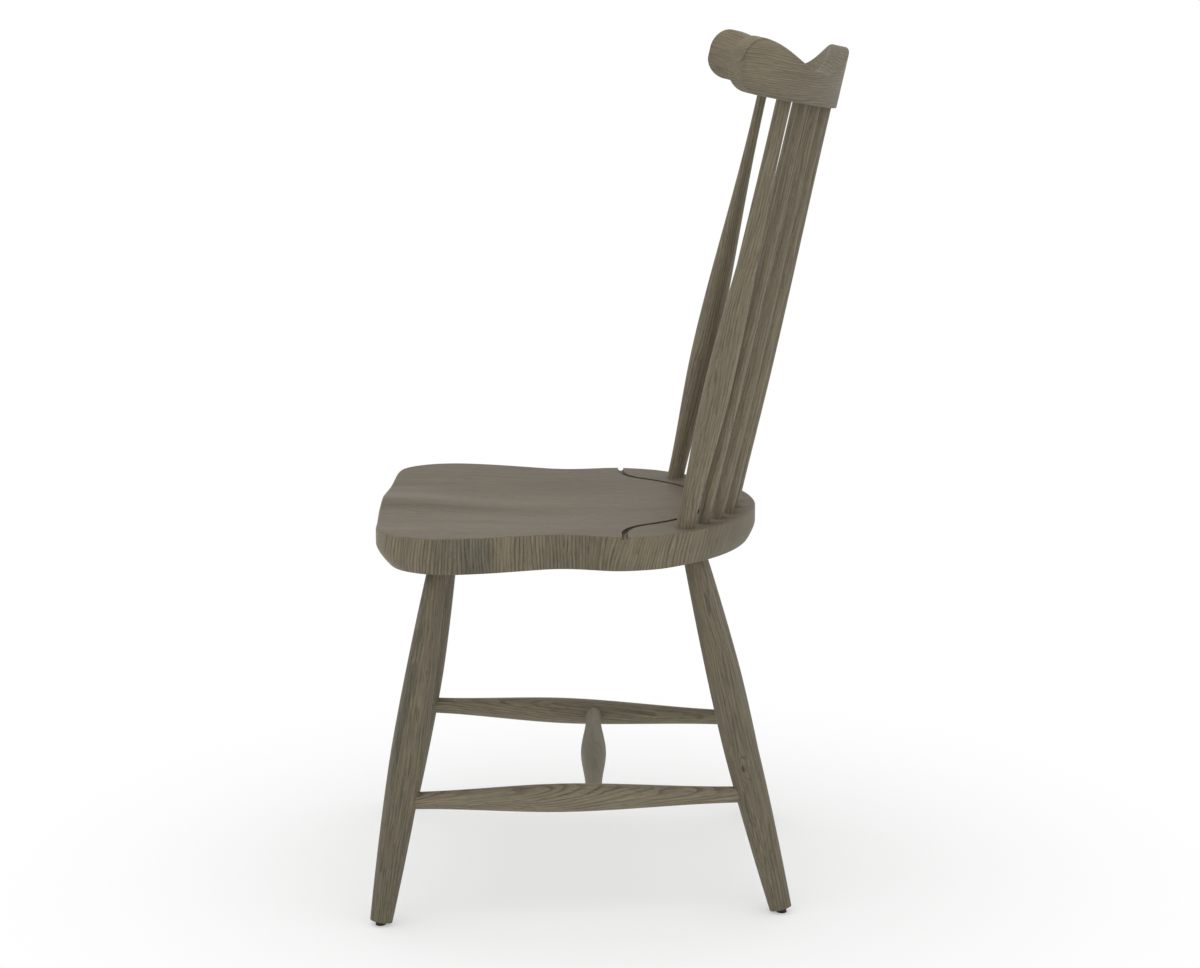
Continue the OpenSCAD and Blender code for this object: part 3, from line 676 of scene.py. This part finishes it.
def top_tones(p, back):
    """Tone of the top and underside, with painted shade on the far side and on the pommel's near flank, and
    a painted shadow behind the spindles' feet.
    """
    # One band, at 42 across, is painted shade on the pommel's near flank.
    bands_and_flank_shade = sum(
        tone * bell((p[:, 0] - at - BAND_SWING * np.sin(back * BAND_TURNS + at)) / wide)
        for at, wide, tone in TOP_BANDS_AND_FLANK_SHADE
    )
    bands_and_flank_shade *= 1 - BAND_FADE * smooth((back - BAND_FADE_START) / BAND_FADE_LEN)
    # A painted shadow darkens the deck just behind the feet of the spindles and posts.
    feet = [seat_point(i)[:2] * [FOOT_OUT, 1] + [0, FOOT_BACK] for i in range(LAST_POST + 1)]
    to_foot = np.min([np.hypot(*(p[:, :2] - foot).T) for foot in feet], axis=0)
    shade = FOOT_SHADOW_TONE * bell(to_foot / FOOT_REACH) * (p[:, 2] > SEAT_H - SEAT_T / 2)
    # Painted shade darkens the far side of the top.
    return bands_and_flank_shade + shade + TOP_TONE + FAR_SHADE_TONE * smooth(-p[:, 0] / FAR_X)


def build_seat():
    obj = make_object("saddle_seat", *rings_body(seat_rings(seat_outline())))
    cut_groove(obj)
    p, _ = corner_places(obj.data)
    normal = corner_normals(obj.data)
    back = (p[:, 1] - SEAT_FRONT_Y) / SEAT_D
    side, groove = seat_zones(p, normal, back)
    across = np.abs(normal[:, 0]) / np.maximum(TINY, np.hypot(normal[:, 0], normal[:, 1]))
    facing = smooth((across - FACING_START) / FACING_LEN)
    side_tone, side_warmth = side_boards(back)
    # Painted light on the seat's front and painted shade on its back, where the edge turns away from X.
    turn_light_and_shade = (1 - facing) * mix(*TURN_LIGHT_AND_SHADE, smooth((back - TURN_START) / TURN_LEN))
    tone = np.where(side, side_tone * facing + turn_light_and_shade, top_tones(p, back))
    # The groove's walls take a painted shade.
    tone = np.where(groove, GROOVE_SHADE_TONE, tone)
    lines = np.where(side, mix(*SIDE_LINES, facing), TOP_LINES)
    fine = np.where(side, mix(*SIDE_FINE, facing), TOP_FINE)
    warmth = np.where(side, side_warmth * facing, 0.0)
    pink = np.where(side, PINK, TOP_PINK)
    look = np.column_stack([lines, tone, fine])
    stain = np.column_stack([np.zeros(len(p)), warmth, pink])
    paint(obj, grain=seat_grain(p, back, side), look=look, stain=stain, knot=NO_KNOT)
    finish(obj, "seat")


# Crest rail. CREST_SKIN keeps its close rings inside the frame's rail, which has longer facets.
CREST_STATIONS, CORNER_STEPS, CREST_SKIN = 180, 6, 0.1
CREST_PITH, CREST_START, CREST_LEAN, CREST_GRAIN = (62.0, 12.0), 620.0, 0.05, 1.5

# Looks, middle and ears: the ears are lighter and warmer on top. Heights and reach in millimetres, places
# along as shares of half the length. The outer upper edge has a dark line of painted shade within RIM_REACH
# of the ends.
LOW_TONES, UP_TONES, END_TONE = (-0.05, 0.02), (0.02, 0.24), -0.04
UP_START, UP_LEN, EAR_LOOK_START, EAR_LOOK_LEN = 36.0, 20.0, 0.6, 0.25
RIM_SHADE_TONE, RIM_REACH = -0.30, 40.0
RAIL_LINES, RAIL_FINE, END_LINES, END_FINE = 0.9, 0.9, 0.2, 0.4
CREST_MARKS, CREST_WARMTH, EAR_WARMTH = 0.05, 0.005, 0.03


def lobe(u):
    return math.sqrt(max(0.0, 1 - u * u))


def crest_upper(c):
    if c < DIP_END:
        wave = mix(HUMP_H, DIP_H, float(smooth(c / DIP_START)))
    else:
        wave = mix(DIP_H, EAR_H, float(smooth((c - DIP_END) / (EAR_START - DIP_END))))
    if c > 1 - EAR_TOP_LEN:
        wave -= EAR_TOP_DROP * EAR_H * (1 - lobe((c - 1 + EAR_TOP_LEN) / EAR_TOP_LEN))
    return wave


def crest_lower(c):
    if c <= 1 - EAR_LOW_LEN:
        return 0.0
    return EAR_LOW_RISE * EAR_H * (1 - lobe((c - 1 + EAR_LOW_LEN) / EAR_LOW_LEN))


def crest_place(x, y, z):
    back, up = y * math.cos(RAKE) + z * math.sin(RAKE), z * math.cos(RAKE) - y * math.sin(RAKE)
    return CREST_BASE + [x, back, up]


def crest_ring(c):
    """One ring of the rail, and for each point its height, how far out it lies, its place along, and 1 on
    the outer upper edge. c is the share of half the length."""
    to_end = (1 - abs(c)) * CREST_R * CREST_END
    inset = CREST_END_R * (1 - lobe(1 - to_end / CREST_END_R)) if to_end < CREST_END_R else 0.0
    low, high = crest_lower(abs(c)) + inset, crest_upper(abs(c)) - inset
    w = CREST_T / 2 - inset - CREST_SKIN
    rt, rl = CREST_TOP_R, CREST_LOW_R
    corners = (
        (w - rt, high - rt, rt), (rt - w, high - rt, rt), (rl - w, low + rl, rl), (w - rl, low + rl, rl),
    )
    a = c * CREST_END
    ring, own = [], []
    for quarter, (out, up, r) in enumerate(corners):
        for k in range(CORNER_STEPS + 1):
            t = math.pi / 2 * (quarter + k / CORNER_STEPS)
            dr, z = out + r * math.cos(t), up + r * math.sin(t)
            bend_r = CREST_R + dr
            ring.append(crest_place(bend_r * math.sin(a), bend_r * math.cos(a) - CREST_R, z))
            on_rim = quarter == 0 and 1 < k < CORNER_STEPS - 1
            own.append((z, dr, CREST_R * a, float(on_rim)))
    return ring, own


def build_crest():
    half_l = CREST_R * CREST_END
    shares = [math.sin(math.pi / 2 * (2 * i / CREST_STATIONS - 1)) for i in range(CREST_STATIONS + 1)]
    rings, own = zip(*(crest_ring(c) for c in shares))
    obj = make_object("crest_rail_bent", *rings_body(rings))
    own = np.array(own)
    own = np.vstack([own.reshape(-1, 4), own[0].mean(0), own[-1].mean(0)])
    _, index = corner_places(obj.data)
    height, out, along, on_rim = own[index].T
    grain = np.column_stack([
        (height + along * CREST_LEAN + CREST_PITH[0]) * CREST_GRAIN,
        (out + CREST_PITH[1]) * CREST_GRAIN,
        along + CREST_START,
    ])
    along = np.abs(along)
    end = along > half_l - CREST_END_R / 2
    up = smooth((height - UP_START) / UP_LEN)
    ear = smooth((along / half_l - EAR_LOOK_START) / EAR_LOOK_LEN)
    # A painted shade darkens the outer upper edge near the ends.
    rim = on_rim * smooth((RIM_REACH - half_l + along) / RIM_REACH * 2)
    tone = np.where(end, END_TONE, mix(*LOW_TONES, ear)) + mix(*UP_TONES, ear) * up + RIM_SHADE_TONE * rim
    look = np.column_stack([
        np.where(end, END_LINES, RAIL_LINES), tone, np.where(end, END_FINE, RAIL_FINE),
    ])
    stain = np.column_stack([
        np.full(len(up), CREST_MARKS), CREST_WARMTH + EAR_WARMTH * up * ear, np.full(len(up), PINK),
    ])
    paint(obj, grain=grain * MM, look=look, stain=stain, knot=NO_KNOT)
    finish(obj, "crest_rail")


# Spindles and posts
UPRIGHT_STEPS, UPRIGHT_EASE = 49, 0.6

# How their boards differ: each value swings about its middle with the upright's number, as the middle, the
# swing, the rate and the phase
QUARTER = math.pi / 2
UPRIGHT_PITH = ((0.0, 9.0, 2.3, QUARTER), (34.0, 8.0, 3.1, 0.0))
UPRIGHT_LEAN = ((0.0, 0.8, 1.7, 0.0), (0.0, 1.1, 1.3, QUARTER))
UPRIGHT_TONES = ((0.11, 0.03, 5.3, 0.0), (0.02, 0.03, 5.3, 0.0))
UPRIGHT_WARMTH = (0.01, 0.01, 2.1, 1.0)
UPRIGHT_START, UPRIGHT_MARKS, POST_LINES, SPINDLE_LINES = 170.0, 0.1, 1.0, 0.7


def swing(middle, amount, rate, phase, i):
    return middle + amount * math.sin(rate * i + phase)


def swell(t, r0, rb, r1, belly, neck=0.0, thinning=1.0):
    if t < belly:
        return mix(r0, rb, float(smooth((t - neck) / (belly - neck))))
    return mix(r1, rb, float(smooth((1 - neck - t) / (1 - neck - belly))) ** thinning)


def seat_point(i):
    a = math.radians((i - MIDDLE_SPINDLE) * FAN_SEAT_ANGLE)
    return np.array([-SPINDLE_RX * math.sin(a), OVAL_Y + SPINDLE_RY * math.cos(a), SEAT_H])


def crest_point(i):
    a = math.radians((i - MIDDLE_SPINDLE) * FAN_CREST_ANGLE)
    return crest_place(-CREST_R * math.sin(a), CREST_R * (math.cos(a) - 1), 0)


def build_upright(i, node, name):
    start, end = seat_point(i), crest_point(i)
    length = float(np.linalg.norm(end - start))
    post = i in (0, LAST_POST)
    radii, belly = (POST_R, POST_BELLY) if post else (SPINDLE_R, SPINDLE_BELLY)
    thinning = POST_THINNING if post else 1.0
    shares = np.linspace(0, 1, UPRIGHT_STEPS)
    profile = [(PLAY - UPRIGHT_SEAT_L, radii[0]), (-UPRIGHT_SEAT_L / 2, radii[0])]
    profile += [(length * t, swell(t, *radii, belly, 0.0, thinning)) for t in shares]
    profile += [(length + UPRIGHT_CREST_L / 2, radii[2]), (length + UPRIGHT_CREST_L - PLAY, radii[2])]
    board = Board(
        pith=[swing(*values, i) for values in UPRIGHT_PITH],
        lean=[swing(*values, i) for values in UPRIGHT_LEAN],
        start=UPRIGHT_START * i,
        lines=POST_LINES if post else SPINDLE_LINES,
        tones=[swing(*values, i) for values in UPRIGHT_TONES],
        marks=UPRIGHT_MARKS,
        warmth=swing(*UPRIGHT_WARMTH, i),
    )
    finish(turned(name, start, end, eased(profile, UPRIGHT_EASE), board), node)


# Legs and stretchers
LEG_STEPS, LEG_SIDES, LEG_EASE = 65, 56, 0.9
STRETCHER_STEPS, STRETCHER_EASE = 57, 0.5


def bow(u):
    return 1 - (1 - min(1.0, max(0.0, u))) ** LEG_BOW


def leg_radius(t):
    if t < LEG_BELLY:
        return mix(LEG_FOOT_R, LEG_BELLY_R, bow(t / LEG_BELLY))
    return mix(LEG_TENON_R, LEG_BELLY_R, bow((1 - t) / (1 - LEG_BELLY)))


def flip(p, hand):
    return np.array([p[0] * hand, p[1], p[2]])


def build_leg(end, top, node, name, hand, board):
    start, stop = flip(end, hand), flip(top, hand)
    length = float(np.linalg.norm(stop - start))
    profile = [(length * t, leg_radius(t)) for t in np.linspace(0, 1, LEG_STEPS)]
    profile += [(length + LEG_TENON_L / 2, LEG_TENON_R), (length + LEG_TENON_L - PLAY, LEG_TENON_R)]
    finish(turned(name, start, stop, eased(profile, LEG_EASE), board, LEG_SIDES), node)


def on_leg(end, top, h):
    return mix(end, top, (h - end[2]) / (top[2] - end[2]))


def radius_at(end, top, h):
    return leg_radius((h - end[2]) / (top[2] - end[2]))


FRONT_JOINT = on_leg(FRONT_END, FRONT_TOP, STRETCHER_FRONT_H)
REAR_JOINT = on_leg(REAR_END, REAR_TOP, STRETCHER_REAR_H)
SIDE_L = float(np.linalg.norm(REAR_JOINT - FRONT_JOINT))
SIDE_START = radius_at(FRONT_END, FRONT_TOP, STRETCHER_FRONT_H) - LET_IN
SIDE_STOP = SIDE_L - radius_at(REAR_END, REAR_TOP, STRETCHER_REAR_H) + LET_IN
CROSS_JOINT = mix(FRONT_JOINT, REAR_JOINT, CROSS_PLACE)
CROSS_L = 2 * CROSS_JOINT[0]
CROSS_SHARE = (CROSS_PLACE * SIDE_L - SIDE_START) / (SIDE_STOP - SIDE_START)
CROSS_START = swell(CROSS_SHARE, *SIDE_R, SIDE_BELLY) - LET_IN


def stretcher_profile(start, stop, radii, belly, neck=0.0):
    shares = np.linspace(0, 1, STRETCHER_STEPS)
    body = [(mix(start, stop, t), swell(t, *radii, belly, neck)) for t in shares]
    head = [(start - STRETCHER_TENON_L, STRETCHER_TENON_R), (start, STRETCHER_TENON_R)]
    tail = [(stop, STRETCHER_TENON_R), (stop + STRETCHER_TENON_L, STRETCHER_TENON_R)]
    return eased(head + body + tail, STRETCHER_EASE)


def build_side_stretcher(node, name, hand, board):
    profile = stretcher_profile(SIDE_START, SIDE_STOP, SIDE_R, SIDE_BELLY)
    finish(turned(name, flip(FRONT_JOINT, hand), flip(REAR_JOINT, hand), profile, board), node)


def build_cross_stretcher(node, name, board):
    profile = stretcher_profile(CROSS_START, CROSS_L - CROSS_START, CROSS_R, CROSS_BELLY, CROSS_NECK)
    finish(turned(name, CROSS_JOINT, flip(CROSS_JOINT, -1), profile, board), node)


# Glides, with how far their edge is drawn in at each height
GLIDE_SIDES, GLIDE_SHARP = 48, 35.0
GLIDE_EDGE = ((GLIDE_R / 2, 0.0), (0.6, 0.0), (0.2, 0.25), (0.0, 0.8))


def build_glide(end, top, node, name, hand):
    """A round nylon cap in line with the leg, level underneath, with its pin in the leg."""
    base, stop = flip(end, hand), flip(top, hand)
    axes = frame_along(base, stop)
    turns = np.arange(GLIDE_SIDES) * 2 * math.pi / GLIDE_SIDES

    def ring_at(r, along):
        return [base + axes @ np.array([r * math.cos(a), r * math.sin(a), along]) for a in turns]

    def level_ring(r, height):
        return [p + axes[:, 2] * (height - p[2]) / axes[2, 2] for p in ring_at(r, 0.0)]

    rings = [level_ring(GLIDE_R - inset, height) for inset, height in GLIDE_EDGE]
    rings += [ring_at(r, along - PLAY) for r, along in ((GLIDE_R, 0.0), (PIN_R, 0.0), (PIN_R, PIN_L))]
    finish(make_object(name, *rings_body(rings), GLIDE_SHARP), node, slot="dark_nylon")


# The dark patches down the front of the near front leg, and those of the near rear leg with its small knot
LEG_SPOTS = (
    (400, -0.60, 14, 0.30), (342, -0.44, 18, 0.28), (284, -0.52, 32, 0.28), (228, -0.60, 28, 0.26),
    (186, -0.64, 26, 0.20),
)
REAR_SPOTS = ((371, -0.22, 4, 0.30), (360, 0.20, 12, 0.14), (120, -0.5, 30, 0.12))
REAR_KNOT_H, REAR_KNOT_ASIDE = 171.0, [19.5, -3.0, 0.0]

build_seat()
build_crest()
build_upright(0, "post_left", "post_turned_left")
build_upright(LAST_POST, "post_right", "post_turned_right")
for number in range(1, LAST_POST):
    build_upright(number, f"spindle_{number}", f"spindle_turned_{number}")
# The legs' tones darken them towards the feet, as painted shade.
build_leg(
    FRONT_END, FRONT_TOP, "leg_front_left", "leg_turned_front_left", 1,
    Board(pith=(-24, 20), lean=(0.6, 1.6), start=2100, tones=(-0.22, -0.06), marks=0.05, spots=LEG_SPOTS),
)
build_leg(
    FRONT_END, FRONT_TOP, "leg_front_right", "leg_turned_front_right", -1,
    Board(pith=(18, -21), lean=(-1.0, 0.8), start=3300, tones=(-0.12, -0.04), marks=0.4),
)
build_leg(
    REAR_END, REAR_TOP, "leg_rear_left", "leg_turned_rear_left", 1,
    Board(
        pith=(-9, 27), lean=(0.5, -2.2), start=4100, tones=(-0.10, -0.05), marks=0.1,
        knots=[on_leg(REAR_END, REAR_TOP, REAR_KNOT_H) + REAR_KNOT_ASIDE], spots=REAR_SPOTS,
    ),
)
build_leg(
    REAR_END, REAR_TOP, "leg_rear_right", "leg_turned_rear_right", -1,
    Board(pith=(-15, -16), lean=(1.2, -0.7), start=5200, tones=(-0.12, -0.04), marks=0.4),
)
build_side_stretcher(
    "side_stretcher_left", "side_stretcher_turned_left", 1,
    Board(
        pith=(82, 12), lean=(-8.0, 1.0), start=700, lines=1.1, tones=(0.20, 0.20), marks=0.0, warmth=0.01,
    ),
)
build_side_stretcher(
    "side_stretcher_right", "side_stretcher_turned_right", -1,
    Board(pith=(-26, -13), lean=(3.0, -1.0), start=1500, lines=0.9, tones=(0.16, 0.16), marks=0.1),
)
build_cross_stretcher(
    "cross_stretcher", "cross_stretcher_turned",
    Board(
        pith=(40, 25), lean=(1.0, 0.0), start=900, lines=0.3, tones=(0.15, 0.15), fine=0.5, marks=0.0,
        warmth=-0.015,
    ),
)
for lower, upper, place in ((FRONT_END, FRONT_TOP, "front"), (REAR_END, REAR_TOP, "rear")):
    for hand, word in ((1, "left"), (-1, "right")):
        build_glide(lower, upper, f"glide_{place}_{word}", f"glide_cap_{place}_{word}", hand)


# Floor, light and camera, in metres. The share of the floor's look that is its own glow grows outwards:
# GLOW_SPAN is the distances from the middle between which it does, and the shares there.
FLOOR_HALF, FLOOR_COLOUR, GLOW_COLOUR, GLOW = 30.0, (0.93, 0.93, 0.93, 1), (1, 1, 1, 1), 1.0
GLOW_SPAN = (0.3, 0.85, 0.36, 1.0)
SKY_COLOUR, SKY = (1, 1, 1, 1), 1.0
TOP_LIGHT_PLACE, TOP_LIGHT_TARGET = (0.3, -0.6, 2.8), (0, 0, 0.4)
TOP_LIGHT_SIZE, TOP_LIGHT_POWER = 2.2, 3.5


def floor():
    """A white studio floor that takes the chair's shadow and melts into the backdrop further out."""
    material = bpy.data.materials.new("pale_floor")
    g = Graph(material)
    place = g.add("ShaderNodeNewGeometry").outputs["Position"]
    away = g.vector("LENGTH", g.stretched(place, 0.0))
    diffuse = g.add("ShaderNodeBsdfDiffuse", {"Color": FLOOR_COLOUR})
    glow = g.add("ShaderNodeEmission", {"Color": GLOW_COLOUR, "Strength": GLOW})
    share = g.span(away, *GLOW_SPAN)
    both = g.add("ShaderNodeMixShader", {0: share, 1: diffuse.outputs[0], 2: glow.outputs[0]})
    g.add("ShaderNodeOutputMaterial", {"Surface": both.outputs[0]})
    mesh = bpy.data.meshes.new("floor")
    corners = [(x * FLOOR_HALF, y * FLOOR_HALF, 0) for x, y in ((-1, -1), (1, -1), (1, 1), (-1, 1))]
    mesh.from_pydata(corners, [], [(0, 1, 2, 3)])
    mesh.materials.append(material)
    obj = bpy.data.objects.new("floor", mesh)
    bpy.context.scene.collection.objects.link(obj)


def top_light():
    data = bpy.data.lights.new("top_light", "AREA")
    data.shape = "DISK"
    data.size = TOP_LIGHT_SIZE
    data.energy = TOP_LIGHT_POWER
    obj = bpy.data.objects.new("top_light", data)
    obj.location = TOP_LIGHT_PLACE
    aim = Vector(TOP_LIGHT_TARGET) - Vector(TOP_LIGHT_PLACE)
    obj.rotation_euler = aim.to_track_quat("-Z", "Y").to_euler()
    bpy.context.scene.collection.objects.link(obj)


# The camera, fitted to the photograph: focal length and middle of the picture in its pixels
PHOTO_W, FOCAL_PX, SHIFT_PX, SENSOR_MM, CLIP_END = 1200.0, 2540.0, 14.0, 36.0, 100.0
CAMERA_PLACE, PITCH_DOWN, YAW = (3.0094, -0.02405, 1.0591), 10.977, 90.0862


def camera():
    data = bpy.data.cameras.new("camera")
    data.sensor_width = SENSOR_MM
    data.lens = FOCAL_PX / PHOTO_W * SENSOR_MM
    data.shift_x = SHIFT_PX / PHOTO_W
    data.clip_end = CLIP_END
    obj = bpy.data.objects.new("camera", data)
    obj.location = CAMERA_PLACE
    obj.rotation_euler = (math.radians(90 - PITCH_DOWN), 0, math.radians(YAW))
    bpy.context.scene.collection.objects.link(obj)
    bpy.context.scene.camera = obj


def studio():
    world = bpy.data.worlds.new("studio")
    bpy.context.scene.world = world
    world.use_nodes = True
    background = world.node_tree.nodes["Background"]
    background.inputs["Color"].default_value = SKY_COLOUR
    background.inputs["Strength"].default_value = SKY
    bpy.context.scene.view_settings.view_transform = "Standard"


floor()
studio()
top_light()
camera()
